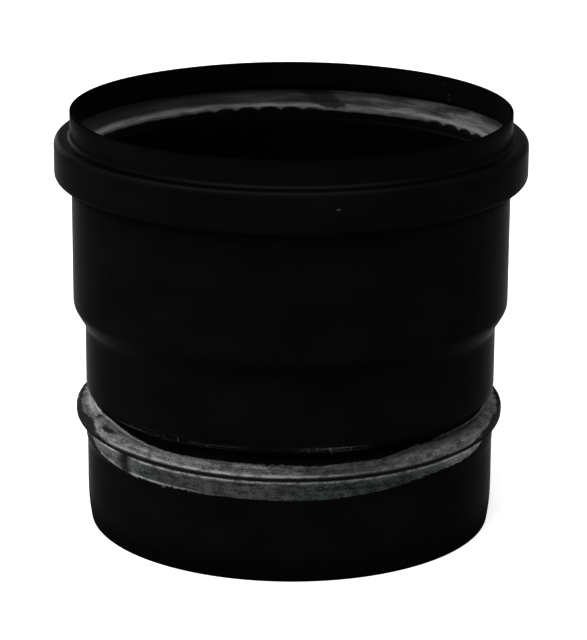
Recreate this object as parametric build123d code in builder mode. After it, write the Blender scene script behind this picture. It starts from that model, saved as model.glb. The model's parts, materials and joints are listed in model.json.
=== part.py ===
# Short length of single-wall stove pipe: a thin steel sheet, welded into a tube and rolled to shape.
# The upper end is a socket with a seal chamber, and the lower end is a spigot with a centring bead.
# Millimetres, +Z up, with the origin at the centre of the spigot's end, on which the pipe stands.

from build123d import *

import os
from math import ceil, pi, radians, sin, tan

os.makedirs("parts", exist_ok=True)

# Sheet
wall = 0.6               # thickness of the sheet
bend = 0.4               # inside radius of the tight rolled bends

# Radii over the outside of the sheet, all worked out from the spigot, which gives the pipe its nominal size
spigot_od = 80.0         # tube that goes into the next socket
neck_proud = 0.15        # neck between the step and the groove, over the spigot
socket_clearance = 1.85  # gap all round between the socket and a spigot inside it
mouth_flare = 0.2        # mouth of the socket, over the rest of it
chamber_depth = 3.3      # band that holds the seal, over the socket

# Lengths along the axis, from the mouth of the socket down
rim_height = 5.1
chamber_height = 8.0
body_height = 25.0
step_height = 3.9
neck_height = 12.8
bead_height = 2.9
spigot_length = 20.7

# Step, where the socket ends
step_bend = 3.0          # outside radius at both ends of the cone

# Bead, which centres the spigot in the mouth of the next socket
bead_clearance = 0.1     # gap all round, inside a mouth of this pipe's own size
bead_crown = 0.7         # inside radius of the crown's two bends

# Groove that the rolls draw in over the bead
groove_depth = 1.65      # how far it goes in from the neck
groove_height = 2.6      # height of its upper slope
flank_drop = 1.0         # how far its lower slope, the bead's upper flank, falls on the way out

# Shoulder that the rolls leave under the bead
shoulder_proud = 0.35
shoulder_height = 3.3
shoulder_run = 1.0       # height of its slope down to the spigot

# Drawn-in end of the spigot, which leads it into the next socket
lead_in = 0.6            # how far the wall is drawn in
lead_in_run = 2.6        # height of the slope
lead_in_edge = 1.0       # height of the straight edge under the slope

# Seal, a lip ring seated on the floor of the chamber
seal_clearance = 0.1     # gap to the chamber's outer wall
seal_headroom = 0.25     # gap to the chamber's ceiling
seal_top_width = 1.7     # width of the top, with its outer bend
seal_lip_reach = 1.0     # how far the lip stands inside the mouth's wall
seal_lip_height = 3.4    # upper edge of the lip above the chamber's floor
seal_lip_edge = 0.8      # thickness of the lip at its edge
seal_lip_round = 0.3     # rounding of the lip's upper corner
seal_foot_height = 0.9   # foot under the lip

# Flats stand for the round bends, so that the turned faces stay few
longest_flat = 2.1       # an arc that is longer gets another flat

# Radii of the sheet's outside
spigot_radius = spigot_od / 2
neck_radius = spigot_radius + neck_proud
groove_radius = neck_radius - groove_depth
body_radius = spigot_radius + socket_clearance + wall
rim_radius = body_radius + mouth_flare
chamber_radius = body_radius + chamber_depth
bead_radius = rim_radius - wall - bead_clearance
shoulder_radius = spigot_radius + shoulder_proud
end_radius = spigot_radius - lead_in

# Levels above the spigot's end
lead_in_top = lead_in_edge + lead_in_run
bead_bottom = spigot_length
shoulder_bottom = bead_bottom - shoulder_height
slope_bottom = shoulder_bottom - shoulder_run
bead_top = bead_bottom + bead_height
groove_level = bead_top + flank_drop
neck_bottom = groove_level + groove_height
step_bottom = neck_bottom + neck_height
step_top = step_bottom + step_height
chamber_bottom = step_top + body_height
chamber_top = chamber_bottom + chamber_height
rim_top = chamber_top + rim_height

# A bend is given by its inside radius: on the sheet's outside a hollow corner has that radius,
# and a standing corner has the sheet's thickness more
hollow = bend
standing = bend + wall
crown = bead_crown + wall


def bent_line(corners):
    """Points of a line through corners given as (radius, height, bend radius).

    A corner with a bend radius becomes flats between points of the arc that touches both legs.
    """
    points = []
    for index, (radius, height, bend_radius) in enumerate(corners):
        corner = Vector(radius, height)
        if bend_radius == 0:
            points.append(corner)
            continue
        to_last = (Vector(*corners[index - 1][:2]) - corner).normalized()
        to_next = (Vector(*corners[index + 1][:2]) - corner).normalized()
        half_angle = radians(to_last.get_angle(to_next)) / 2
        touch = bend_radius / tan(half_angle)
        centre = corner + (to_last + to_next).normalized() * (bend_radius / sin(half_angle))
        first_arm = corner + to_last * touch - centre
        last_arm = corner + to_next * touch - centre
        sweep = pi - 2 * half_angle
        flats = ceil(bend_radius * sweep / longest_flat)
        for step in range(flats + 1):
            angle = sweep * step / flats
            arm = first_arm * sin(sweep - angle) + last_arm * sin(angle)
            points.append(centre + arm / sin(sweep))
    return points


def inside_line(points):
    """The same line moved inwards by the sheet's thickness, with mitred corners."""
    legs = [(after - before).normalized() for before, after in zip(points, points[1:])]
    inward = [Vector(leg.Y, -leg.X) for leg in legs]
    above = inward[:1] + inward
    below = inward + inward[-1:]
    return [point + (a + b) * (wall / (1 + a.dot(b))) for point, a, b in zip(points, above, below)]


# Pipe: the sheet's outer line from the mouth down, thickened inwards and turned about the axis
sheet_corners = [
    (rim_radius, rim_top, 0),
    (rim_radius, chamber_top, hollow),
    (chamber_radius, chamber_top, standing),
    (chamber_radius, chamber_bottom, standing),
    (body_radius, chamber_bottom, hollow),
    (body_radius, step_top, step_bend),
    (neck_radius, step_bottom, step_bend),
    (neck_radius, neck_bottom, 0),
    (groove_radius, groove_level, 0),
    (bead_radius, bead_top, crown),
    (bead_radius, bead_bottom, crown),
    (shoulder_radius, bead_bottom, 0),
    (shoulder_radius, shoulder_bottom, 0),
    (spigot_radius, slope_bottom, 0),
    (spigot_radius, lead_in_top, 0),
    (end_radius, lead_in_edge, 0),
    (end_radius, 0, 0),
]

outside = bent_line(sheet_corners)
inside = inside_line(outside)

with BuildPart() as stove_pipe:
    with BuildSketch(Plane.XZ) as sheet_section:
        with BuildLine() as sheet_line:
            Polyline(*outside, *reversed(inside), close=True)
        make_face()
    revolve(axis=Axis.Z)
stove_pipe.part.label = "stove_pipe"
export_step(stove_pipe.part, "parts/stove_pipe.step")

# Seal: its foot stands on the chamber's floor, clear of the floor's bends,
# and its lip slopes in and down from the chamber's top to a sharp lower edge
seal_floor = chamber_bottom + wall
seal_ceiling = chamber_top - wall - seal_headroom
seal_radius = chamber_radius - wall - seal_clearance
seal_lip_radius = rim_radius - wall - seal_lip_reach
seal_foot_radius = body_radius - wall + standing
seal_lip_top = seal_floor + seal_lip_height

seal_corners = [
    (seal_foot_radius, seal_floor, 0),
    (seal_radius, seal_floor, standing),
    (seal_radius, seal_ceiling, standing),
    (seal_radius - seal_top_width, seal_ceiling, 0),
    (seal_lip_radius, seal_lip_top, seal_lip_round),
    (seal_lip_radius, seal_lip_top - seal_lip_edge, 0),
    (seal_foot_radius, seal_floor + seal_foot_height, 0),
]

with BuildPart() as socket_seal:
    with BuildSketch(Plane.XZ) as seal_section:
        with BuildLine() as seal_line:
            Polyline(*bent_line(seal_corners), close=True)
        make_face()
    revolve(axis=Axis.Z)
socket_seal.part.label = "socket_seal"
export_step(socket_seal.part, "parts/socket_seal.step")
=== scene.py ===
# %% [markdown]
# # A worn stove pipe
# A short length of stove pipe is one thin steel sheet, rolled into a tube with a socket at the top and a
# spigot below, and painted matt black. A grey lip seal sits in the socket's band. The measured solids come
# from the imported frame, so nothing here is moved or resized. Blender adds what plain solids lack: round
# bends, a bead rubbed bare by the next pipe, a scalloped lip, and the finish of both pieces.

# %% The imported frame
import json
import math

import bpy
import numpy as np
from mathutils import Matrix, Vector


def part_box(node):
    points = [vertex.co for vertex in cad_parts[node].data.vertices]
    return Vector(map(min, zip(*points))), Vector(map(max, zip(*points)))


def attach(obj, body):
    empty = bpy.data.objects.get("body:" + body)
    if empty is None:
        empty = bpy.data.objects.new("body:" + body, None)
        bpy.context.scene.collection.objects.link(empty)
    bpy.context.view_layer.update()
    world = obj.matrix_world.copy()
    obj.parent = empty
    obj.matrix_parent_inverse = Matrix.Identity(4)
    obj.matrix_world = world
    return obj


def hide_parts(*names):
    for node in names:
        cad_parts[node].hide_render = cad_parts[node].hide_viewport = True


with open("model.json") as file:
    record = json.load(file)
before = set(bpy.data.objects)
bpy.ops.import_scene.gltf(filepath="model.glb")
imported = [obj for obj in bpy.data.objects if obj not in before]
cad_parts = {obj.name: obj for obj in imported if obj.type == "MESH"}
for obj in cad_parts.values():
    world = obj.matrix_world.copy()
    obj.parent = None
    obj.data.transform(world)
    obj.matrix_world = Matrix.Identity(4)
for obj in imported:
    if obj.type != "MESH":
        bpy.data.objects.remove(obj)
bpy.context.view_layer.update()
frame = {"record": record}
mm = 0.001
pipe_low, pipe_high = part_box("stove_pipe")
seal_low, seal_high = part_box("socket_seal")
mounts = {mount["name"]: mount for mount in frame["record"]["mounts"]}
print("pipe", [round(high - low, 4) for low, high in zip(pipe_low, pipe_high)], "m")

# %% [markdown]
# ## Camera
# The view comes first, because every later look is judged through it. The rim's ellipse is flatter than the
# spigot's, which says how near the camera stood and how far it looked down. A long lens at that distance
# frames the pipe as the photograph does, with no lens shift, so that other views stay centred. A third of a
# degree of roll makes the pipe lean to the right, as it does there.

# %% Camera
camera_distance = 584.8 * mm
camera_slope = math.radians(16.98)
camera_aim = np.array([0.62, 0.0, 39.37]) * mm
camera_roll = math.radians(0.35)
camera_lens = 167.5     # millimetres, on a sensor that is 36 mm on its long side

camera = bpy.data.objects.new("camera", bpy.data.cameras.new("camera"))
camera.data.lens = camera_lens
camera.data.clip_start = 10 * mm
away = np.array([0.0, -math.cos(camera_slope), math.sin(camera_slope)])
camera.location = camera_aim + camera_distance * away
look_down = Matrix.Rotation(math.pi / 2 - camera_slope, 3, "X")
camera.rotation_euler = (look_down @ Matrix.Rotation(camera_roll, 3, "Z")).to_euler()
bpy.context.scene.collection.objects.link(camera)
bpy.context.scene.camera = camera
bpy.context.scene.view_settings.view_transform = "Standard"
print("camera at", [round(value, 3) for value in camera.location])

# %% [markdown]
# ## Small helpers for node trees
# Shader nodes are wired by socket. A value that is a socket gets a link, and any other value is written on
# the input itself, so one short call can place a node and fill it.

# %% Helpers for node trees
def feed(tree, socket, value):
    """Links a socket to the input, or writes a plain value on it."""
    if isinstance(value, bpy.types.NodeSocket):
        tree.links.new(value, socket)
    else:
        socket.default_value = value


def place(tree, kind, values=(), **settings):
    """Adds a node, sets its own settings and feeds its inputs, given by name or by number."""
    made = tree.nodes.new(kind)
    for name, value in settings.items():
        setattr(made, name, value)
    for name, value in dict(values).items():
        feed(tree, made.inputs[name], value)
    return made


def calculate(tree, operation, first, second=0.0):
    """One step of arithmetic on values."""
    return place(tree, "ShaderNodeMath", {0: first, 1: second}, operation=operation).outputs[0]


def blend_colours(tree, share, first, second):
    """Goes from the first colour to the second as share goes from 0 to 1."""
    return place(tree, "ShaderNodeMix", {0: share, 6: first, 7: second}, data_type="RGBA").outputs[2]


def blend_values(tree, share, first, second):
    """Goes from the first value to the second as share goes from 0 to 1."""
    return place(tree, "ShaderNodeMix", {0: share, 2: first, 3: second}, data_type="FLOAT").outputs[0]


def stretch(tree, value, low, high, to_low=0.0, to_high=1.0):
    """Maps low..high to to_low..to_high, with soft ends."""
    inputs = {"Value": value, 1: low, 2: high, 3: to_low, 4: to_high}
    return place(tree, "ShaderNodeMapRange", inputs, interpolation_type="SMOOTHSTEP").outputs["Result"]


def grey(level):
    """A neutral colour of one level."""
    return (level, level, level, 1.0)


print("helpers ready")

# %% [markdown]
# ## Floor and surround
# The pipe stands on a plain white sweep. A white background could be had by flooding the scene with light,
# but then the black paint would turn grey. Here the floor and the world only look white to camera, glossy
# and transmission rays. The light that falls on the pipe stays plain, and the floor keeps the shadow.

# %% Floor and surround
world_light = 0.35
floor_colour = 0.8
floor_glow = 0.6
floor_half_width = 3.0


def seen_directly(tree):
    """1 for rays that show the background as it is: camera, glossy and transmission rays."""
    rays = place(tree, "ShaderNodeLightPath").outputs
    camera_or_gloss = calculate(tree, "MAXIMUM", rays["Is Camera Ray"], rays["Is Glossy Ray"])
    return calculate(tree, "MAXIMUM", camera_or_gloss, rays["Is Transmission Ray"])


def light_world():
    """A white surround to look at, and a dimmer one to be lit by."""
    world = bpy.data.worlds.new("studio")
    world.use_nodes = True
    tree = world.node_tree
    tree.nodes.clear()
    seen = place(tree, "ShaderNodeBackground", {"Color": grey(1.0), "Strength": 1.0})
    lighting = place(tree, "ShaderNodeBackground", {"Color": grey(1.0), "Strength": world_light})
    backgrounds = {0: seen_directly(tree), 1: lighting.outputs[0], 2: seen.outputs[0]}
    mixed = place(tree, "ShaderNodeMixShader", backgrounds)
    place(tree, "ShaderNodeOutputWorld", {"Surface": mixed.outputs[0]})
    bpy.context.scene.world = world


def lay_floor():
    """A wide pale sheet under the pipe, with a little glow for the rays that look at it."""
    mesh = bpy.data.meshes.new("floor")
    half = floor_half_width
    spots = [(-half, -half, 0), (half, -half, 0), (half, half, 0), (-half, half, 0)]
    mesh.from_pydata(spots, [], [(0, 1, 2, 3)])
    material = bpy.data.materials.new("floor")
    material.use_nodes = True
    tree = material.node_tree
    tree.nodes.clear()
    matt = place(tree, "ShaderNodeBsdfDiffuse", {"Color": grey(floor_colour)})
    glow_strength = calculate(tree, "MULTIPLY", seen_directly(tree), floor_glow)
    glow = place(tree, "ShaderNodeEmission", {"Color": grey(1.0), "Strength": glow_strength})
    both = place(tree, "ShaderNodeAddShader", {0: matt.outputs[0], 1: glow.outputs[0]})
    place(tree, "ShaderNodeOutputMaterial", {"Surface": both.outputs[0]})
    mesh.materials.append(material)
    floor = bpy.data.objects.new("floor", mesh)
    bpy.context.scene.collection.objects.link(floor)


light_world()
lay_floor()
print("floor", 2 * floor_half_width, "m wide, world light", world_light)

# %% [markdown]
# ## Lamps
# Black paint shows little but its gloss, so the lamps are placed for the edges that they draw. Two soft
# ones stand at the sides, the stronger on the left, and a larger one in front reaches into the mouth. One
# overhead lights the ledges and the band's bends, and one low behind the left side catches the bead's
# upper face.

# %% Lamps
def hang_lamp(name, bearing, height_angle, distance, size, power):
    """A square soft lamp that faces the pipe: bearing in degrees from the front, to the right."""
    lamp = bpy.data.objects.new(name, bpy.data.lights.new(name, "AREA"))
    lamp.data.size = size
    lamp.data.energy = power
    turn = math.radians(bearing)
    rise = math.radians(height_angle)
    lamp.location = (
        distance * math.sin(turn) * math.cos(rise),
        -distance * math.cos(turn) * math.cos(rise),
        distance * math.sin(rise),
    )
    lamp.rotation_euler = (math.pi / 2 - rise, 0.0, turn)
    bpy.context.scene.collection.objects.link(lamp)


hang_lamp("left", bearing=-100, height_angle=25, distance=1.2, size=0.6, power=8)
hang_lamp("front", bearing=-38, height_angle=42, distance=1.3, size=0.8, power=5)
hang_lamp("right", bearing=105, height_angle=25, distance=1.3, size=0.6, power=4)
hang_lamp("overhead", bearing=-10, height_angle=74, distance=1.2, size=0.4, power=8)
hang_lamp("behind", bearing=-152, height_angle=12, distance=1.2, size=0.5, power=5)

# %% [markdown]
# ## Rounded sections
# Both pieces are turned about the pipe's axis, so each starts as a closed section of radius and height. A
# Bevel modifier could round the corners later, but then the two faces of a bent sheet wouldn't share one
# centre. Here each corner is rounded by the arc that touches both its legs, and long legs are cut into
# short stretches, which are finest where the surface carries wear.

# %% Rounded sections
def unit(vectors):
    """The same directions with length 1."""
    return vectors / np.linalg.norm(vectors, axis=-1, keepdims=True)


def rounded_loop(corners, radii, arc_steps):
    """A closed line of (radius, height) corners, each rounded by an arc that touches both legs.

    With h half the angle between the legs, the arc's centre lies radius / sin(h) along their middle, and the
    arc turns by pi - 2h from one touching point to the other.
    """
    back = unit(np.roll(corners, 1, axis=0) - corners)
    ahead = unit(np.roll(corners, -1, axis=0) - corners)
    half = np.arccos(np.sum(back * ahead, axis=1)) / 2
    centre = corners + unit(back + ahead) * (radii / np.sin(half))[:, None]
    first = corners + back * (radii / np.tan(half))[:, None] - centre
    last = corners + ahead * (radii / np.tan(half))[:, None] - centre
    sweep = (np.pi - 2 * half)[:, None]
    share = np.linspace(0.0, 1.0, arc_steps + 1)
    first_weight = np.sin(sweep * (1 - share)) / np.sin(sweep)
    last_weight = np.sin(sweep * share) / np.sin(sweep)
    from_first = first[:, None] * first_weight[..., None]
    from_last = last[:, None] * last_weight[..., None]
    arcs = centre[:, None] + from_first + from_last
    return arcs.reshape(-1, 2)


def divided_loop(loop, longest):
    """The closed line with every stretch cut into equal pieces no longer than its own limit."""
    stretches = np.roll(loop, -1, axis=0) - loop
    counts = np.ceil(np.linalg.norm(stretches, axis=1) / longest).astype(int)
    source = np.repeat(np.arange(len(loop)), counts)
    place_in_stretch = np.arange(counts.sum()) - np.repeat(np.cumsum(counts) - counts, counts)
    return loop[source] + stretches[source] * (place_in_stretch / counts[source])[:, None]


def length_along(loop):
    """How far each point of the line lies from its first point."""
    return np.concatenate([[0.0], np.cumsum(np.linalg.norm(np.diff(loop, axis=0), axis=1))])


print("section helpers ready")

# %% [markdown]
# ## Turned pieces
# Spinning a section would do for a perfect ring, but the bead is worn on one side and the lip is scalloped.
# So each piece is a grid instead: one direction runs round the closed section, the other round the axis, and
# any point may be nudged. Marks of wear and of painted light and shade are stored on the points, where the
# materials can read them.

# %% Turned pieces
def turned_piece(name, radius, height, turn, along, marks):
    """A mesh closed both ways from radius and height on a grid of (point of the section, angle).

    The angle turn is 0 at the front and grows to the right. The attribute rolled is the point's place on the
    unrolled sheet, bent round a circle so that patterns close: (R sin, -R cos, length along the section).
    """
    points, angles = radius.shape
    sine = np.sin(turn)[None, :]
    cosine = np.cos(turn)[None, :]
    spots = np.stack([radius * sine, -radius * cosine, height], axis=-1).reshape(-1, 3)
    row = np.arange(points)[:, None]
    column = np.arange(angles)[None, :]
    below = (row + 1) % points
    right = (column + 1) % angles
    corners = [row * angles + column, below * angles + column, below * angles + right, row * angles + right]
    faces = np.stack(corners, axis=-1).reshape(-1, 4)
    mesh = bpy.data.meshes.new(name)
    mesh.vertices.add(len(spots))
    mesh.vertices.foreach_set("co", spots.ravel())
    mesh.loops.add(faces.size)
    mesh.loops.foreach_set("vertex_index", faces.ravel())
    mesh.polygons.add(len(faces))
    mesh.polygons.foreach_set("loop_start", np.arange(len(faces)) * 4)
    mesh.polygons.foreach_set("use_smooth", np.ones(len(faces), dtype=bool))
    mesh.update(calc_edges=True)
    across = np.stack([column, column, column + 1, column + 1], axis=-1) / angles
    down = np.stack([row, row + 1, row + 1, row], axis=-1) / points
    chart = np.stack(np.broadcast_arrays(across, down), axis=-1)
    mesh.uv_layers.new(name="unrolled").data.foreach_set("uv", chart.ravel())
    mean_radius = float(radius.mean())
    flat = np.broadcast_arrays(mean_radius * sine, -mean_radius * cosine, along[:, None])
    rolled = np.stack(flat, axis=-1).reshape(-1, 3)
    mesh.attributes.new("rolled", "FLOAT_VECTOR", "POINT").data.foreach_set("vector", rolled.ravel())
    for mark, values in marks.items():
        spread = np.broadcast_to(values, radius.shape).ravel().astype(np.float32)
        mesh.attributes.new(mark, "FLOAT", "POINT").data.foreach_set("value", spread)
    piece = bpy.data.objects.new(name, mesh)
    bpy.context.scene.collection.objects.link(piece)
    print(name, len(spots), "points,", 2 * len(faces), "triangles")
    return piece


print("turned pieces ready")

# %% [markdown]
# ## Soft masks
# Each mark, of wear or of painted light and shade, is made of soft masks: humps and plateaus round the pipe,
# ramps and stripes along its section. They could be painted by hand, but formulas can be read, moved and
# tuned. Angles are in degrees from the front and grow to the right.

# %% Soft masks
def bell(turn, centre, spread):
    """A hump of height 1 round an angle in degrees, closed round the back."""
    offset = (np.degrees(turn) - centre + 180.0) % 360.0 - 180.0
    return np.exp(-((offset / spread) ** 2))


def plateau(turn, centre, reach):
    """1 round an angle in degrees, with soft shoulders at about the reach to both sides."""
    offset = (np.degrees(turn) - centre + 180.0) % 360.0 - 180.0
    return np.exp(-((offset / reach) ** 4))


def ramp(value, low, high):
    """0 below low, 1 above high and a smooth rise between them."""
    share = np.clip((value - low) / (high - low), 0.0, 1.0)
    return share * share * (3 - 2 * share)


def stripe(offset, half_width):
    """1 where the offset is 0, fading within about the half width."""
    return np.exp(-((offset / half_width) ** 2))


print("masks ready")

# %% [markdown]
# ## The sheet's section
# The pipe is one sheet of even thickness. So only its outer line is drawn, from the mouth down, and the
# inner line is that line moved in by the wall. A bend that stands out has a radius smaller by the wall on
# the inside, and one that goes in has a radius larger by the wall. The spigot's end is drawn in by one long
# bend, so that the next socket finds it.

# %% The sheet's section
wall = 0.6 * mm
mouth_bore = mounts["socket"]["dims"]["r_mm"] * mm
spigot_radius = mounts["spigot"]["dims"]["r_mm"] * mm
band_radius = pipe_high[0]
rim_radius = mouth_bore + wall
socket_radius = band_radius - 3.3 * mm
neck_radius = spigot_radius + 0.15 * mm
groove_radius = neck_radius - 1.65 * mm
bead_radius = mouth_bore - 0.1 * mm
crease_radius = spigot_radius + 0.05 * mm
shoulder_radius = spigot_radius + 0.35 * mm
end_radius = spigot_radius - 0.6 * mm

rim_top = pipe_high[2]
band_top = rim_top - 5.1 * mm
band_bottom = band_top - 8.0 * mm
step_top = band_bottom - 25.0 * mm
step_bottom = step_top - 3.9 * mm
neck_bottom = step_bottom - 12.8 * mm
groove_level = neck_bottom - 2.6 * mm
bead_top = groove_level - 1.0 * mm
bead_bottom = bead_top - 2.9 * mm
crease_bottom = bead_bottom - 0.35 * mm
shoulder_top = bead_bottom - 0.75 * mm
shoulder_bottom = bead_bottom - 3.3 * mm
slope_bottom = shoulder_bottom - 1.0 * mm
lead_in_top = pipe_low[2] + 3.6 * mm

cut_edge = 0.1 * mm
hollow = 0.7 * mm
standing = hollow + wall
crown = 1.3 * mm
step_bend = 3.0 * mm
groove_bend = 0.3 * mm
crease_bend = 0.15 * mm
shoulder_bend = 0.7 * mm
slope_bend = 2.0 * mm
lead_in_bend = 40.0 * mm

outer_line = np.array([
    (rim_radius, rim_top, cut_edge),
    (rim_radius, band_top, hollow),
    (band_radius, band_top, standing),
    (band_radius, band_bottom, standing),
    (socket_radius, band_bottom, hollow),
    (socket_radius, step_top, step_bend),
    (neck_radius, step_bottom, step_bend),
    (neck_radius, neck_bottom, step_bend),
    (groove_radius, groove_level, groove_bend),
    (bead_radius, bead_top, crown),
    (bead_radius, bead_bottom, crown),
    (crease_radius, bead_bottom, crease_bend),
    (crease_radius, crease_bottom, crease_bend),
    (shoulder_radius, shoulder_top, shoulder_bend),
    (shoulder_radius, shoulder_bottom, slope_bend),
    (spigot_radius, slope_bottom, slope_bend),
    (spigot_radius, lead_in_top, lead_in_bend),
    (end_radius, pipe_low[2], cut_edge),
])


def inner_line(outer):
    """The outer line moved in by the wall, with mitred corners and the bends' inside radii."""
    legs = unit(np.diff(outer[:, :2], axis=0))
    inward = np.stack([legs[:, 1], -legs[:, 0]], axis=1)
    above = np.concatenate([inward[:1], inward])
    below = np.concatenate([inward, inward[-1:]])
    reach = wall / (1 + np.sum(above * below, axis=1))
    spots = outer[:, :2] + (above + below) * reach[:, None]
    bends = np.sign(above[:, 0] * below[:, 1] - above[:, 1] * below[:, 0])
    radii = np.maximum(outer[:, 2] + bends * wall, cut_edge)
    return np.column_stack([spots, radii])


print("outer corners", len(outer_line), "inner bends", (inner_line(outer_line)[:, 2] / mm).round(2))

# %% [markdown]
# ## The pipe's surface
# A rolled sheet is never a perfect ring. The mouth is a little flat at the back left, the bead wavers under
# the rolls and sits a little to the left, and the shoulder under it fades to the right. These are nudges of
# the grid's radius. Wear and painted light and shade are kept beside the shape as marks on the points: how
# far inside the rubbed zone a point lies, where shade and highlights are painted, where the sheet is
# scuffed.
# The material turns the marks into ragged edges.

# %% The pipe's surface
pipe_angles = 280
bend_steps = 5
plain_stretch = 2.5 * mm
worn_stretch = 0.25 * mm
worn_reach = 9.0 * mm

sheet_loop = np.concatenate([outer_line, inner_line(outer_line)[::-1]])
sheet_line = rounded_loop(sheet_loop[:, :2], sheet_loop[:, 2], bend_steps)
is_outer = np.arange(len(sheet_line)) < len(sheet_line) // 2
is_worn = is_outer & (np.abs(sheet_line[:, 1] - bead_bottom) < worn_reach)
sheet = divided_loop(sheet_line, np.where(is_worn, worn_stretch, plain_stretch))
along = length_along(sheet)
outside = np.arange(len(sheet)) <= np.argmin(sheet[:, 1])
turn = np.linspace(-np.pi, np.pi, pipe_angles, endpoint=False)
degrees = np.degrees(turn)
sheet_radius = sheet[:, :1]
sheet_height = sheet[:, 1:]


def station(radius, height):
    """Length along the sheet's outer line at the point nearest to a radius and a height."""
    gap = np.hypot(sheet[:, 0] - radius, sheet[:, 1] - height)
    return along[np.argmin(np.where(outside, gap, np.inf))]


flat_depth = 0.5 * mm
waver_depth = 0.05 * mm
left_shift = 0.2 * mm
fade_depth = 0.25 * mm
bead_reach = 2.0 * mm

mouth_flat = flat_depth * bell(turn, -148, 24) * ramp(sheet_height, band_top, rim_top)
bead_middle = (bead_top + bead_bottom) / 2
near_bead = stripe(sheet_height - bead_middle, bead_reach)
bead_waver = waver_depth * (np.sin(3 * turn + 1.0) + 0.6 * np.sin(7 * turn + 2.0)) * near_bead
bead_shift = -left_shift * np.sin(turn) * near_bead
on_shoulder = ramp(sheet_height, slope_bottom, shoulder_bottom)
on_shoulder = on_shoulder * (1 - ramp(sheet_height, shoulder_top, crease_bottom))
shoulder_fade = fade_depth * (1 - bell(turn, -40, 75)) * on_shoulder
pipe_radius = sheet_radius - mouth_flat + bead_waver + bead_shift - shoulder_fade
pipe_height = sheet_height + np.zeros(pipe_angles)
print("section points", len(sheet), "sheet length", round(along[-1], 4), "m")

# %% [markdown]
# ## The rubbed zone
# The next pipe's mouth slides over the bead and rubs the paint off it, and off the shoulder under it. The
# zone starts on the bead's crown at the front and in the groove at both sides, and it ends at an edge that
# dips at the front and climbs to meet the bead. The mark rubbed is 0.5 on the zone's edge and rises evenly
# across it. Far from the zone it lies well below 0, so that no noise lifts a chip out of sound paint.

# %% The rubbed zone
edge_width = 1.2 * mm
far_off = -0.6
groove_line = station(groove_radius, groove_level)
crown_line = station(bead_radius - 0.94 * mm, bead_top + 0.27 * mm)
bead_side = station(bead_radius, bead_bottom + 1.6 * mm)
crease_line = station(crease_radius, bead_bottom)
lip_line = station(shoulder_radius, shoulder_top)
shoulder_line = station(shoulder_radius, shoulder_bottom)
place_along = along[:, None]
sideways = np.abs(degrees)
outer_wall = outside[:, None]
inner_wall = ~outer_wall

flank_width = crown_line - groove_line
bare_flank = ramp(degrees, 22, 42) + ramp(-degrees, 30, 64)
chips = 0.45 * mm * bell(turn, 7, 6) + 0.5 * mm * bell(turn, 41, 5)
upper_line = crown_line - bare_flank * flank_width + chips
right_climb = 2.1 * mm * ramp(degrees, 5, 52) + 2.1 * mm * ramp(degrees, 54, 82)
left_climb = 1.0 * mm * ramp(-degrees, 45, 66) + 3.2 * mm * ramp(-degrees, 62, 80)
back_dip = 2.0 * mm * bell(turn, 165, 40)
lower_edge = slope_bottom + 0.1 * mm + right_climb + left_climb - back_dip
lower_line = shoulder_line + shoulder_bottom - lower_edge
inside_zone = np.minimum(place_along - upper_line, lower_line - place_along)
rubbed = np.where(outer_wall, np.clip(0.5 + inside_zone / edge_width, far_off, 1), far_off)
print("rubbed points", int((rubbed > 0.5).sum()), "of", rubbed.size)

# %% [markdown]
# ## Marks on the bare steel
# Scoured steel isn't one grey. Painted shade fills the crease under the bead, and one gap in the band below
# it is dark. Thin edges and the bead's left end get painted highlights. The band gets painted shade, and is
# blued by heat on the right and in one place on the left. The bead gets painted shade along its upper edge,
# on the right, at its left end and at both ends of its outer side, and it has three dark blots. Each of
# these is a mark of its own, tuned by itself.

# %% Marks on the bare steel
# Painted shade darkens the crease under the bead; one gap in the band below it is dark as well.
crease_start = bead_side + 0.45 * mm - 0.45 * mm * ramp(sideways, 10, 50)
crease_top = ramp(place_along, crease_start, crease_start + 0.5 * mm)
crease = crease_top * (1 - ramp(place_along, crease_line + 0.35 * mm, crease_line + 0.7 * mm))
under_bead = ramp(place_along, crease_line, lip_line)
gap = ramp(degrees, -57.5, -51.5) * (1 - ramp(degrees, -50, -47)) * under_bead
crease_shade_and_gap = np.clip(crease + 0.95 * gap, 0, 1) * outer_wall

# Painted highlights: bright lines on the bead's and the shoulder's thin edges, and a bright patch at the
# bead's left end.
thin_line = 0.2 * mm
shoulder_edge = stripe(place_along - lip_line, thin_line) * (1 - 0.5 * ramp(degrees, -20, 20))
bead_low_edge = stripe(place_along - crease_start + 0.1 * mm, thin_line) * bell(turn, -22, 30)
bead_high_edge = stripe(place_along - upper_line - 0.3 * mm, thin_line) * bell(turn, -55, 20)
zone_edge = stripe(place_along - lower_line + 0.35 * mm, thin_line) * bell(turn, -45, 16)
bead_end = 0.4 * stripe(place_along - groove_line - 0.9 * mm, 0.8 * mm) * bell(turn, -79, 10)
painted_highlight = shoulder_edge + bead_low_edge + bead_high_edge + zone_edge + bead_end
painted_highlight = np.clip(painted_highlight, 0, 1) * outer_wall

shade_right = ramp(degrees, -50, -42) * (1 - 0.8 * ramp(degrees, 42, 54))
shade = under_bead * (shade_right + 0.8 * ramp(-degrees, 54, 60))
tint = under_bead * (ramp(degrees, -8, 8) * (1 - ramp(degrees, 40, 56)) + 0.8 * bell(turn, -43, 6))
# Painted shade on the bead: darker on the right, where less light falls, along its upper edge by the groove,
# and at its left end.
darker_right = 0.6 * ramp(degrees, -14, 12) + 0.35 * bell(turn, 17, 8)
darker_top = 0.9 * stripe(place_along - upper_line, 1.1 * mm) * (1 - ramp(sideways, 55, 75))
darker_end = 1.2 * bell(turn, -82, 16) * ramp(place_along, groove_line + 0.8 * mm, groove_line + 1.9 * mm)
bead_shade = np.clip(darker_right + darker_top + darker_end, 0, 1) * (1 - under_bead)
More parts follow.
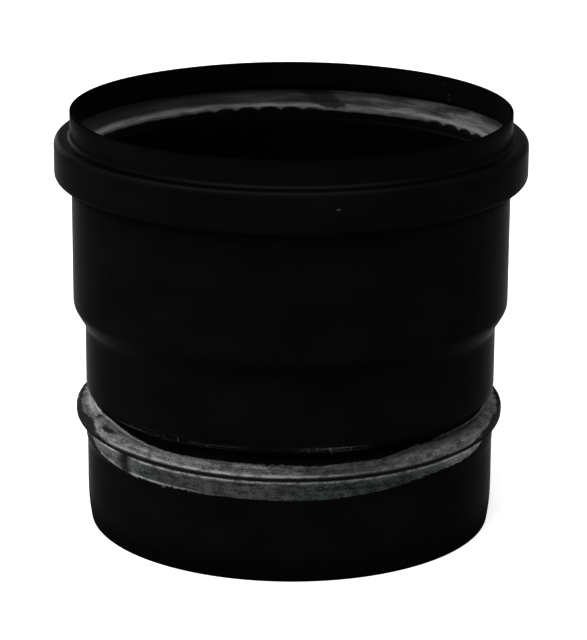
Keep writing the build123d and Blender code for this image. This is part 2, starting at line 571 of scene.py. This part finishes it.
# Painted shade on the bead's outer side at both ends; the three blots below are dark marks on the steel.
end_rise = 2.2 * mm * ramp(sideways, 50, 74) + 0.7 * mm * ramp(sideways, 76, 92)
side_edge = bead_side + 0.2 * mm - end_rise
outer_side_shade = np.clip(0.5 + (place_along - side_edge) / edge_width, 0, 1) * ramp(sideways, 46, 58)
first_blot = 0.5 * bell(turn, -68, 3.2) * stripe(place_along - groove_line - 1.2 * mm, 1.3 * mm)
second_blot = bell(turn, -57, 4.0) * stripe(place_along - crown_line + 0.1 * mm, 0.7 * mm)
third_blot = bell(turn, -67, 3.0) * stripe(place_along - crown_line - 1.0 * mm, 0.9 * mm)
blots = 1.4 * (first_blot + second_blot + third_blot)
side_shade_with_blots = np.clip(outer_side_shade + blots, 0, 1) * (1 - under_bead)
side_shade_and_blots = far_off + (1 - far_off) * side_shade_with_blots
print("dull points", int((side_shade_and_blots > 0.5).sum()), "polished points", int((painted_highlight > 0.5).sum()))

# %% [markdown]
# ## Marks on the paint
# The paint is scuffed over the groove, where the next pipe's edge stops. Places that light hardly reaches
# get
# painted shade and are made matt: the groove, the underside of the band, the step, the ledge, the bore and
# both ends. On the band's two upper bends a painted highlight makes the paint a little paler. A few grains
# of dust lie inside the rim, and one small nick sits on the band.

# %% Marks on the paint
over_groove = stripe(sheet_height - groove_level - 1.4 * mm, 0.6 * mm) * outer_wall
scuff = over_groove * (bell(turn, 10, 9) + 0.6 * plateau(turn, -34, 22))
# Painted shade in the corners, the bore and at both ends, which are also made matt.
in_groove = stripe(sheet_height - groove_level, 1.2 * mm)
under_band = stripe(sheet_height - band_bottom + 0.4 * mm, 0.9 * mm)
step_middle = (step_top + step_bottom) / 2
on_step = stripe(sheet_height - step_middle, 2.2 * mm) * bell(turn, 5, 38)
ledge_side = ramp(sheet_radius, rim_radius + 0.2 * mm, rim_radius + 0.5 * mm)
ledge_side = ledge_side * (1 - ramp(sheet_radius, band_radius - 1.0 * mm, band_radius - 0.6 * mm))
on_ledge = stripe(sheet_height - band_top, 0.3 * mm) * ledge_side * (1 - ramp(sideways, 54, 64))
on_edge = stripe(sheet_height - rim_top, 0.1 * mm) + np.zeros(pipe_angles)
in_bore = inner_wall * (1 - ramp(sheet_height, band_bottom, band_bottom + 1.0 * mm))
at_end = 0.7 * (1 - ramp(sheet_height, pipe_low[2] + 1.0 * mm, 2 * lead_in_top))
corner = (in_groove + 0.8 * under_band + 0.8 * on_step + on_ledge + at_end) * outer_wall
corner = np.clip(corner + on_edge + in_bore, 0, 1)
# Painted highlights: the band's two upper bends are paler at the front.
bend_middle = 1 - math.sqrt(0.5)
upper_bend = station(rim_radius + bend_middle * hollow, band_top + bend_middle * hollow)
lower_bend = station(band_radius - bend_middle * standing, band_top - bend_middle * standing)
bend_highlight = stripe(place_along - upper_bend, 0.3 * mm) * plateau(turn, -1, 28)
bend_highlight = bend_highlight + 0.8 * stripe(place_along - lower_bend, 0.3 * mm) * plateau(turn, -10, 38)
inside_rim = stripe(sheet_height - rim_top + 3.4 * mm, 0.6 * mm) * inner_wall
dust = inside_rim * bell(turn, 133, 3.5) + 0.25 * scuff
nick_turn = math.radians(10.8)
nick_along = station(band_radius, band_top - standing) + 2.1 * mm
roll_radius = pipe_radius.mean()
nick_spot = (roll_radius * math.sin(nick_turn), -roll_radius * math.cos(nick_turn), nick_along)

pipe_marks = {
    "rubbed": rubbed,
    "crease_shade_and_gap": crease_shade_and_gap,
    "painted_highlight": painted_highlight,
    "shade": shade,
    "tint": tint,
    "bead_shade": bead_shade,
    "side_shade_and_blots": side_shade_and_blots,
    "bend_highlight": bend_highlight,
    "scuff": scuff,
    "corner": corner,
    "dust": dust,
}
pipe_sheet = turned_piece("pipe_sheet", pipe_radius, pipe_height, turn, along, pipe_marks)

# %% [markdown]
# ## The lip seal
# The grey ring in the band is a moulded lip seal. Its foot stands on the band's floor and its lip slopes in
# and down, so that the next spigot bends it. The lip's lower edge is moulded in small arches, which show on
# the far side of the mouth. Each arch is the rounded half of a sine, lifted into the edge and fading away
# from it, so it is worked out on the same kind of grid.

# %% The lip seal
seal_angles = 672
arch_count = 56
lip_radius = mouth_bore - 1.0 * mm
lip_top = seal_low[2] + 3.4 * mm
lip_bottom = lip_top - 0.8 * mm
foot_radius = socket_radius - wall + standing
foot_top = seal_low[2] + 0.9 * mm
seal_radius = seal_high[0]
top_radius = seal_radius - 1.7 * mm
lip_edge = 0.12 * mm
soft_edge = 0.3 * mm
top_edge = 0.4 * mm
heel_edge = 0.2 * mm
seal_stretch = 0.3 * mm
arch_reach = 0.6 * mm
arch_lean = 0.3

seal_loop = np.array([
    (foot_radius, foot_top, soft_edge),
    (lip_radius, lip_bottom, lip_edge),
    (lip_radius, lip_top, soft_edge),
    (top_radius, seal_high[2], top_edge),
    (seal_radius, seal_high[2], standing),
    (seal_radius, seal_low[2], standing),
    (foot_radius, seal_low[2], heel_edge),
])
seal_line = rounded_loop(seal_loop[:, :2], seal_loop[:, 2], bend_steps)
seal_section = divided_loop(seal_line, seal_stretch)
seal_along = length_along(seal_section)
seal_turn = np.linspace(-np.pi, np.pi, seal_angles, endpoint=False)

arches = np.abs(np.cos(arch_count / 2 * seal_turn)) ** 0.8
moulded = plateau(seal_turn, -171, 17) + plateau(seal_turn, 124, 15)
arch_depth = (0.1 + 0.5 * moulded) * mm
edge_gap = np.hypot(seal_section[:, 0] - lip_radius, seal_section[:, 1] - lip_bottom)
near_edge = stripe(edge_gap, arch_reach)[:, None]
arch_lift = arch_depth * arches * near_edge
seal_ring_radius = seal_section[:, :1] + arch_lean * arch_lift
seal_ring_height = seal_section[:, 1:] + arch_lift

seal_level = seal_section[:, 1:]
inner_face = (seal_section[:, :1] < top_radius) & (seal_level > lip_bottom - 0.01 * mm)
lip_shine = inner_face * (1 - ramp(seal_level, lip_top + 0.4 * mm, lip_top + 1.0 * mm))
# Painted shade: the lowest part of the lip stays dark, as under the arches.
lip_shine = lip_shine * ramp(seal_level, lip_bottom, lip_bottom + 0.5 * mm)
# Painted shade on the seal's underside, below the lip.
underside_shade = (seal_section[:, :1] < top_radius) & (seal_level < lip_bottom)
# Partly painted light: the chalk is heaviest at the right back, where more light falls, and held down at the
# left back.
chalk_and_light = 0.15 + 0.8 * bell(seal_turn, 128, 38) + 0.3 * bell(seal_turn, 0, 60)
chalk_and_light = chalk_and_light - 0.14 * bell(seal_turn, -124, 14)
smear_centre = 168 + 6 * (seal_level - lip_top) / (seal_high[2] - lip_top)
smear = 1.3 * bell(seal_turn, smear_centre, 4.5) * ramp(seal_level, lip_bottom, lip_top + 0.8 * mm)

seal_marks = {"lip": lip_shine, "under": underside_shade, "chalk_and_light": chalk_and_light[None, :], "smear": smear}
lip_seal = turned_piece("lip_seal", seal_ring_radius, seal_ring_height, seal_turn, seal_along, seal_marks)

# %% [markdown]
# ## Shared effects
# Three effects are used several times, so each is a node group that is built once. Streaks are stretched
# noise that runs round the pipe, as rolling and rubbing leave it. A ragged edge takes a smooth mark and
# breaks its edge up with noise. Specks are some of the cells of a Voronoi pattern, each with a small dot.

# %% Shared effects
def new_group(name, inputs, output):
    """An empty shader group with named inputs, given as (name, kind, default), and one value as output."""
    group = bpy.data.node_groups.new(name, "ShaderNodeTree")
    for socket_name, kind, default in inputs:
        socket = group.interface.new_socket(socket_name, in_out="INPUT", socket_type=kind)
        if default is not None:
            socket.default_value = default
    group.interface.new_socket(output, in_out="OUTPUT", socket_type="NodeSocketFloat")
    entry = group.nodes.new("NodeGroupInput")
    leave = group.nodes.new("NodeGroupOutput")
    return group, entry.outputs, leave.inputs[output]


def streaks_group():
    """Noise that changes slowly round the pipe and fast along its section."""
    inputs = [
        ("Vector", "NodeSocketVector", None),
        ("Around", "NodeSocketFloat", 60.0),
        ("Along", "NodeSocketFloat", 2000.0),
        ("Detail", "NodeSocketFloat", 3.0),
        ("Roughness", "NodeSocketFloat", 0.5),
    ]
    group, entry, leave = new_group("turned streaks", inputs, "Streaks")
    scale = place(group, "ShaderNodeCombineXYZ", {0: entry["Around"], 1: entry["Around"], 2: entry["Along"]})
    vector = place(
        group, "ShaderNodeVectorMath", {0: entry["Vector"], 1: scale.outputs[0]}, operation="MULTIPLY"
    )
    noise = place(group, "ShaderNodeTexNoise", {
        "Vector": vector.outputs[0], "Scale": 1.0,
        "Detail": entry["Detail"], "Roughness": entry["Roughness"],
    })
    feed(group, leave, stretch(group, noise.outputs[0], 0.28, 0.72))
    return group


def ragged_group():
    """A mark's edge at 0.5, pushed to and fro by noise and sharpened."""
    inputs = [
        ("Mark", "NodeSocketFloat", 0.0),
        ("Vector", "NodeSocketVector", None),
        ("Grain", "NodeSocketFloat", 1500.0),
        ("Raggedness", "NodeSocketFloat", 0.5),
        ("Softness", "NodeSocketFloat", 0.05),
    ]
    group, entry, leave = new_group("ragged edge", inputs, "Mask")
    noise = place(
        group, "ShaderNodeTexNoise",
        {"Vector": entry["Vector"], "Scale": entry["Grain"], "Detail": 4.0, "Roughness": 0.6},
    )
    swing = calculate(group, "SUBTRACT", noise.outputs[0], 0.5)
    push = calculate(group, "MULTIPLY", swing, entry["Raggedness"])
    pushed = calculate(group, "ADD", entry["Mark"], push)
    low = calculate(group, "SUBTRACT", 0.5, entry["Softness"])
    high = calculate(group, "ADD", 0.5, entry["Softness"])
    feed(group, leave, stretch(group, pushed, low, high))
    return group


def specks_group():
    """A dot in a share of the cells of a Voronoi pattern."""
    inputs = [
        ("Vector", "NodeSocketVector", None),
        ("Scale", "NodeSocketFloat", 900.0),
        ("Share", "NodeSocketFloat", 0.2),
        ("Size", "NodeSocketFloat", 0.3),
    ]
    group, entry, leave = new_group("scattered specks", inputs, "Specks")
    cells = place(group, "ShaderNodeTexVoronoi", {"Vector": entry["Vector"], "Scale": entry["Scale"]})
    chance = place(group, "ShaderNodeSeparateColor", {0: cells.outputs["Color"]})
    chosen = calculate(group, "LESS_THAN", chance.outputs[0], entry["Share"])
    size = calculate(group, "MULTIPLY", entry["Size"], calculate(group, "ADD", chance.outputs[1], 0.4))
    dot = stretch(group, cells.outputs["Distance"], size, calculate(group, "MULTIPLY", size, 0.6))
    feed(group, leave, calculate(group, "MULTIPLY", dot, chosen))
    return group


turned_streaks = streaks_group()
ragged_edge = ragged_group()
scattered_specks = specks_group()
print("groups", [group.name for group in bpy.data.node_groups])

# %% [markdown]
# ## Helpers for materials
# Both materials read the marks and the place on the unrolled sheet, which are stored on the points. Patterns
# on that place run round the bends with the sheet, where Object coordinates would cut straight through them.

# %% Helpers for materials
def use_group(tree, group, values):
    """Places a shared effect in a material and gives back its output."""
    made = place(tree, "ShaderNodeGroup", node_tree=group)
    for name, value in values.items():
        feed(tree, made.inputs[name], value)
    return made.outputs[0]


def mark(tree, name):
    """A mark that was stored on the piece's points."""
    return place(tree, "ShaderNodeAttribute", attribute_name=name).outputs["Fac"]


def on_sheet(tree):
    """The point's place on the unrolled sheet."""
    return place(tree, "ShaderNodeAttribute", attribute_name="rolled").outputs["Vector"]


def new_material(name):
    """A material with an empty tree, its shader and its output."""
    material = bpy.data.materials.new(name)
    material.use_nodes = True
    tree = material.node_tree
    tree.nodes.clear()
    shader = place(tree, "ShaderNodeBsdfPrincipled")
    place(tree, "ShaderNodeOutputMaterial", {"Surface": shader.outputs[0]})
    return material, tree, shader


def weighted(tree, share, weight):
    """A share held down to a part of itself."""
    return calculate(tree, "MULTIPLY", share, weight)


def filtered(tree, share, colour, filter_colour):
    """A colour dimmed by a filter as far as the share says, so that its grain stays."""
    dimmed = place(tree, "ShaderNodeVectorMath", {0: colour, 1: filter_colour}, operation="MULTIPLY")
    return blend_colours(tree, share, colour, dimmed.outputs[0])


print("material helpers ready")

# %% [markdown]
# ## Bare steel
# Where the next pipe has rubbed the paint, matt steel shows: grey, mottled, and streaked round the pipe. A
# plain metal would mirror the lamps, which scoured and dirty steel doesn't, so most of the look is in its
# colour. Filters dim that colour for painted shade on the bead and the band, and where it is blued, and so
# leave its grain.

# %% Bare steel
# The darkest grey paints shade in the crease and one dark gap, the next paints shade on the bead's outer
# side and its blots, and the brightest serves painted highlights and specks.
crease_shade_black = grey(0.003)
shade_and_blot_steel = grey(0.007)
dark_steel = grey(0.016)
mid_steel = grey(0.13)
pale_steel = grey(0.17)
bright_steel = grey(0.3)
# The first two filters paint shade, on the bead and on the band under it; the third blues the steel.
bead_shade_filter = (0.3, 0.3, 0.3)
shade_filter = (0.34, 0.34, 0.34)
blue_filter = (0.6, 0.74, 0.735)
streak_cover = 0.4
scratch_cover = 0.7
speck_cover = 0.2
shade_and_blot_cover = 0.93
crease_shade_cover = 0.96


def steel_colour(tree, sheet_place, tone, streaks, side_shade_and_blots):
    """Grainy grey with streaks, dimmed by painted shade and blue, with painted highlights, specks, side
    shade, blots and crease shade on top.
    """
    steel = blend_colours(tree, tone, dark_steel, mid_steel)
    streaked = blend_colours(tree, weighted(tree, streaks, streak_cover), steel, pale_steel)
    lines = use_group(tree, turned_streaks, {"Vector": sheet_place, "Around": 50.0, "Along": 5200.0})
    scratches = stretch(tree, lines, 0.7, 1.0, 0.0, scratch_cover)
    scratched = blend_colours(tree, scratches, streaked, dark_steel)
    bead_shaded = filtered(tree, mark(tree, "bead_shade"), scratched, bead_shade_filter)
    shaded = filtered(tree, mark(tree, "shade"), bead_shaded, shade_filter)
    blued = filtered(tree, mark(tree, "tint"), shaded, blue_filter)
    # Painted highlights on thin edges and at the bead's left end.
    painted_highlight = calculate(tree, "MULTIPLY", mark(tree, "painted_highlight"), stretch(tree, tone, 0.1, 0.6, 0.35, 1.0))
    highlighted = blend_colours(tree, painted_highlight, blued, bright_steel)
    specks = use_group(tree, scattered_specks, {
        "Vector": sheet_place, "Scale": 3200.0, "Share": 0.1, "Size": 0.4,
    })
    spotted = blend_colours(tree, weighted(tree, specks, speck_cover), highlighted, bright_steel)
    side_shaded = blend_colours(tree, weighted(tree, side_shade_and_blots, shade_and_blot_cover), spotted, shade_and_blot_steel)
    crease_shade_and_gap = weighted(tree, mark(tree, "crease_shade_and_gap"), crease_shade_cover)
    return blend_colours(tree, crease_shade_and_gap, side_shaded, crease_shade_black)


print("steel from", dark_steel[0], "to", bright_steel[0])

# %% [markdown]
# ## Black paint
# Stove paint is a deep matt black. One flat black would hide the shape, so it is a little cloudy, with
# painted shade in the corners and painted highlights on the band's bends. Scuffs, dust and the nick lie on
# top of it.

# %% Black paint
deep_black = grey(0.0018)
worn_black = grey(0.0026)
# The next two colours are painted light: shade in the corners and a highlight on the band's bends.
corner_shade_black = grey(0.0005)
bend_highlight_black = grey(0.0075)
scuff_grey = grey(0.085)
dust_grey = grey(0.4)
corner_shade_cover = 0.8
nick_radius = 0.28 * mm
nick_edge = 0.14 * mm
nick_core = 0.06 * mm
nick_fade = 0.12 * mm
nick_cover = 0.1


def nick(tree, sheet_place):
    """A small arch where the paint is chipped: the upper half of a thin ring round one spot."""
    from_spot = place(tree, "ShaderNodeVectorMath", {0: sheet_place, 1: nick_spot}, operation="SUBTRACT")
    offset = from_spot.outputs[0]
    reach = place(tree, "ShaderNodeVectorMath", {0: offset}, operation="LENGTH").outputs["Value"]
    off_ring = calculate(tree, "ABSOLUTE", calculate(tree, "SUBTRACT", reach, nick_radius))
    ring = stretch(tree, off_ring, nick_edge, nick_core)
    down = place(tree, "ShaderNodeSeparateXYZ", {0: offset}).outputs[2]
    upper_half = stretch(tree, down, 0.0, -nick_fade, 0.0, nick_cover)
    return calculate(tree, "MULTIPLY", ring, upper_half)


def paint_colour(tree, sheet_place):
    """Cloudy black with painted shade in corners and painted highlights on the band's bends, with scuffs,
    dust and the nick.
    """
    cloud = use_group(tree, turned_streaks, {"Vector": sheet_place, "Around": 90.0, "Along": 120.0})
    paint = blend_colours(tree, cloud, deep_black, worn_black)
    # Painted shade in the corners.
    corners = weighted(tree, mark(tree, "corner"), corner_shade_cover)
    corner_shaded = blend_colours(tree, corners, paint, corner_shade_black)
    # Painted highlights on the band's bends.
    bend_lit = blend_colours(tree, mark(tree, "bend_highlight"), corner_shaded, bend_highlight_black)
    scratches = use_group(tree, turned_streaks, {"Vector": sheet_place, "Around": 60.0, "Along": 4200.0})
    scuffs = calculate(tree, "MULTIPLY", mark(tree, "scuff"), stretch(tree, scratches, 0.66, 0.95))
    scuffed = blend_colours(tree, scuffs, bend_lit, scuff_grey)
    specks = use_group(tree, scattered_specks, {
        "Vector": sheet_place, "Scale": 1700.0, "Share": 0.5, "Size": 0.34,
    })
    dusted = calculate(tree, "MULTIPLY", specks, mark(tree, "dust"))
    pale = calculate(tree, "MAXIMUM", dusted, nick(tree, sheet_place))
    return blend_colours(tree, pale, scuffed, dust_grey)


print("paint from", corner_shade_black[0], "to", bend_highlight_black[0])

# %% [markdown]
# ## The pipe's finish
# Paint and steel could be two materials on two sets of faces, but their edge is ragged and far finer than
# the faces. So one material holds both, and the mask from the mark rubbed decides between them for colour,
# metal, roughness and relief. The specular level is one low number on the shader, because an export drops
# a linked one. Corners are made duller by their roughness instead.

# %% The pipe's finish
paint_gloss = 0.0007
smooth_paint = 0.28
grainy_paint = 0.34
corner_roughness = 0.9
coarse_steel = 0.6
fine_steel = 0.42
metal_share = 0.4
paint_grain = 0.006 * mm
steel_grain = 0.03 * mm
paint_thickness = 0.05 * mm


def paint_finish():
    """Matt black stove paint with bare steel where the mark rubbed says so."""
    material, tree, shader = new_material("black_paint")
    sheet_place = on_sheet(tree)
    mottle = use_group(tree, turned_streaks, {
        "Vector": sheet_place, "Around": 420.0, "Along": 900.0, "Detail": 6.0, "Roughness": 0.72,
    })
    sand = use_group(tree, turned_streaks, {
        "Vector": sheet_place, "Around": 2200.0, "Along": 3000.0, "Detail": 2.0,
    })
    tone = stretch(tree, blend_values(tree, 0.3, mottle, sand), 0.15, 0.85)
    streaks = use_group(tree, turned_streaks, {
        "Vector": sheet_place, "Around": 200.0, "Along": 3200.0, "Detail": 4.0, "Roughness": 0.6,
    })
    patches = use_group(tree, turned_streaks, {"Vector": sheet_place, "Around": 70.0, "Along": 70.0})
    rub = use_group(tree, ragged_edge, {
        "Mark": mark(tree, "rubbed"), "Vector": sheet_place, "Grain": 1100.0,
        "Raggedness": stretch(tree, patches, 0.5, 0.9, 0.6, 2.2), "Softness": 0.07,
    })
    # This mask paints shade on the bead's outer side and adds the dark blots.
    side_shade_and_blots = use_group(tree, ragged_edge, {
        "Mark": mark(tree, "side_shade_and_blots"), "Vector": sheet_place,
        "Grain": 900.0, "Raggedness": 2.6, "Softness": 0.3,
    })
    steel = steel_colour(tree, sheet_place, tone, streaks, side_shade_and_blots)
    paint = paint_colour(tree, sheet_place)
    feed(tree, shader.inputs["Base Color"], blend_colours(tree, rub, paint, steel))

    not_darkened = calculate(tree, "SUBTRACT", 1.0, calculate(tree, "MAXIMUM", mark(tree, "crease_shade_and_gap"), side_shade_and_blots))
    bare = calculate(tree, "MULTIPLY", rub, not_darkened)
    feed(tree, shader.inputs["Metallic"], weighted(tree, bare, metal_share))
    grain_noise = place(tree, "ShaderNodeTexNoise", {"Vector": sheet_place, "Scale": 1400.0, "Detail": 2.0})
    grain = grain_noise.outputs[0]
    even_roughness = stretch(tree, grain, 0.3, 0.7, smooth_paint, grainy_paint)
    paint_roughness = blend_values(tree, mark(tree, "corner"), even_roughness, corner_roughness)
    steel_roughness = stretch(tree, tone, 0.0, 1.0, coarse_steel, fine_steel)
    feed(tree, shader.inputs["Roughness"], blend_values(tree, rub, paint_roughness, steel_roughness))
    shader.inputs["Specular IOR Level"].default_value = paint_gloss

    paint_height = calculate(tree, "MULTIPLY", grain, paint_grain)
    steel_height = calculate(tree, "MULTIPLY", tone, steel_grain)
    sunk = calculate(tree, "SUBTRACT", steel_height, paint_thickness)
    height = blend_values(tree, rub, paint_height, sunk)
    relief = place(tree, "ShaderNodeBump", {"Height": height, "Distance": 1.0, "Strength": 1.0})
    feed(tree, shader.inputs["Normal"], relief.outputs[0])
    print(material.name, len(tree.nodes), "nodes")
    return material


black_paint = paint_finish()

# %% [markdown]
# ## Grey seal
# The seal is a matt grey moulding with a chalky bloom, paler at the right back partly as painted light. Its
# lip is paler, and one dark smear crosses it at the back. Its underside gets painted shade. A single grey
# would look like plastic, so streaks and patches mix a dark and a pale grey, and the chalk mark says how
# much of the pale one shows.

# %% Grey seal
seal_dark = grey(0.008)
seal_pale = grey(0.11)
seal_streak = grey(0.009)
seal_lip = grey(0.115)
seal_smear = grey(0.006)
seal_shade = grey(0.006)
seal_gloss = 0.02
rough_rubber = 0.8
smooth_rubber = 0.6
rubber_streak_cover = 0.7
smear_cover = 0.9
rubber_grain = 0.02 * mm


def seal_finish():
    """Chalky grey rubber, paler on the lip, with painted light at the right back and painted shade
    underneath.
    """
    material, tree, shader = new_material("grey_seal")
    sheet_place = on_sheet(tree)
    streaks = use_group(tree, turned_streaks, {
        "Vector": sheet_place, "Around": 110.0, "Along": 2200.0, "Detail": 5.0, "Roughness": 0.65,
    })
    patches = use_group(tree, turned_streaks, {
        "Vector": sheet_place, "Around": 90.0, "Along": 700.0, "Detail": 6.0, "Roughness": 0.7,
    })
    chalk_and_light = calculate(tree, "MULTIPLY", mark(tree, "chalk_and_light"), stretch(tree, patches, 0.1, 0.9, 0.1, 1.1))
    body = blend_colours(tree, chalk_and_light, seal_dark, seal_pale)
    streaked = blend_colours(tree, weighted(tree, streaks, rubber_streak_cover), body, seal_streak)
    lip = calculate(tree, "MULTIPLY", mark(tree, "lip"), stretch(tree, patches, 0.1, 0.7, 0.4, 1.0))
    lipped = blend_colours(tree, lip, streaked, seal_lip)
    smear = use_group(tree, ragged_edge, {
        "Mark": mark(tree, "smear"), "Vector": sheet_place,
        "Grain": 900.0, "Raggedness": 1.3, "Softness": 0.25,
    })
    smeared = blend_colours(tree, weighted(tree, smear, smear_cover), lipped, seal_smear)
    # The underside gets painted shade.
    feed(tree, shader.inputs["Base Color"], blend_colours(tree, mark(tree, "under"), smeared, seal_shade))
    feed(tree, shader.inputs["Roughness"], stretch(tree, streaks, 0.0, 1.0, rough_rubber, smooth_rubber))
    shader.inputs["Specular IOR Level"].default_value = seal_gloss
    height = calculate(tree, "MULTIPLY", streaks, rubber_grain)
    relief = place(tree, "ShaderNodeBump", {"Height": height, "Distance": 1.0, "Strength": 1.0})
    feed(tree, shader.inputs["Normal"], relief.outputs[0])
    print(material.name, len(tree.nodes), "nodes")
    return material


grey_seal = seal_finish()

# %% [markdown]
# ## Putting it together
# Each surface stands for one solid of the frame and rides with the pipe's only body.

# %% Putting it together
for piece, node, slot_name, finish in (
    (pipe_sheet, "stove_pipe", "black_paint", black_paint),
    (lip_seal, "socket_seal", "grey_seal", grey_seal),
):
    piece.data.materials.append(finish)
    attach(piece, "root")
    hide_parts(node)
